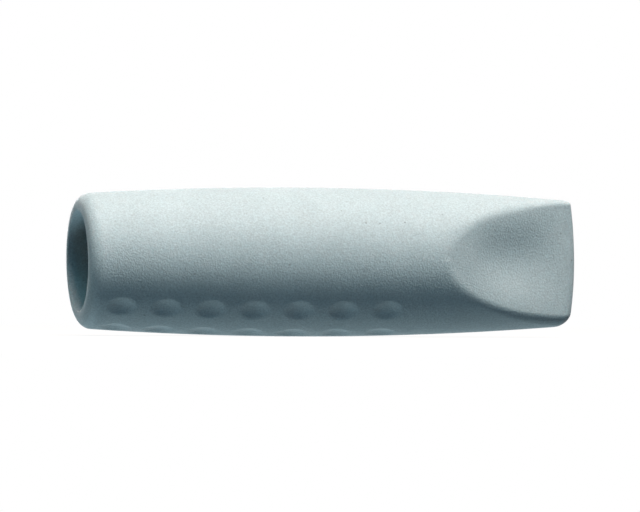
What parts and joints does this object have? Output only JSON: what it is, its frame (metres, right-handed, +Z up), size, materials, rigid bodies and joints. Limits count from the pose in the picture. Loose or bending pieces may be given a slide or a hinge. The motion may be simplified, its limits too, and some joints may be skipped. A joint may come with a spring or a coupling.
{
  "type": "pencil eraser topper",
  "caption": "Soft one-piece eraser cap with a blind bore that pushes over a pencil's blunt end, a chisel tip with dished flats, and rows of shallow grip dimples along one side.",
  "frame": {"origin": "on the surface that the cap lies on, under the middle of its box, with its belly at Z = 0", "axes": "+X along the bore from the open mouth to the chisel tip, +Z up with the grip dimples underneath, the chisel's dished flats face -Y and +Y"},
  "size_m": [0.041, 0.012, 0.012],
  "materials": {
    "eraser_rubber": "matte"
  },
  "bodies": {
    "root": {"eraser_cap": "eraser_rubber"}
  },
  "joints": []
}
